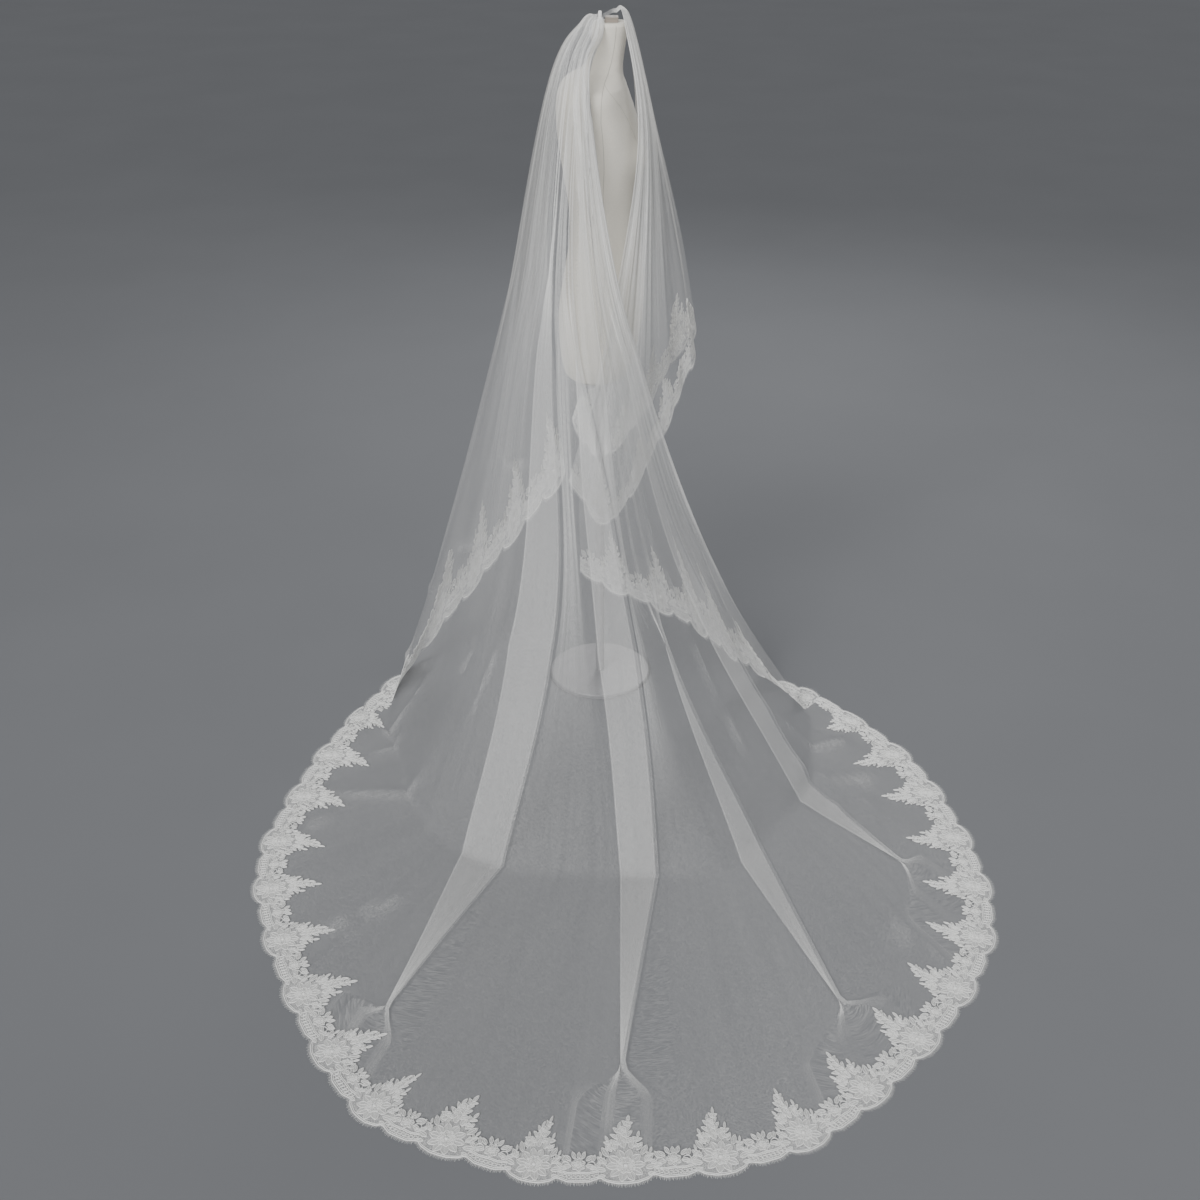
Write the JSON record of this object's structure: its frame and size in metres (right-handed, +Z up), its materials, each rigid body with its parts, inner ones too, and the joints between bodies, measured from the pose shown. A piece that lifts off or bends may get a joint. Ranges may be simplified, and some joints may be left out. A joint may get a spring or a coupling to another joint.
{
  "type": "bridal veil of two tiers with a lace border, with its comb, worn by a limbless dress form on a pole stand",
  "caption": "Cathedral veil of sheer tulle with a scalloped lace border, worn by a limbless dress form on a slim stand, its train spread on the floor.",
  "frame": {"origin": "centre of the underside of the stand's round base, on the floor", "axes": "+Z up, +X the way the dress form faces, -Y the side that the train spreads to"},
  "size_m": [1.8306, 2.049, 1.8929],
  "materials": {
    "tulle_long": "sheer soft net, slightly glossy",
    "tulle_short": "sheer soft net, slightly glossy",
    "lace": "corded embroidery",
    "form_cover": "smooth ivory jersey",
    "neck_block": "matte",
    "comb_band": "satin binding over a comb",
    "stand": "satin enamel"
  },
  "bodies": {
    "root": {"form_torso": "form_cover", "form_neck_block": "neck_block", "stand_pole": "stand", "stand_base": "stand", "comb_band": "comb_band", "long_tier_back": "tulle_long", "long_tier_left": "tulle_long", "long_tier_middle": "tulle_long", "long_tier_right": "tulle_long", "long_tier_under": "tulle_long", "train_left": "tulle_long", "train_middle": "tulle_long", "train_right": "tulle_long", "short_tier_far": "tulle_short", "short_tier_front": "tulle_short", "short_tier_near": "tulle_short", "lace_far_rise": "lace", "lace_train_1": "lace", "lace_train_2": "lace", "lace_train_3": "lace", "lace_train_4": "lace", "lace_train_5": "lace", "lace_under_rise": "lace", "lace_short_far": "lace", "lace_short_front": "lace", "lace_short_near": "lace"}
  },
  "joints": []
}
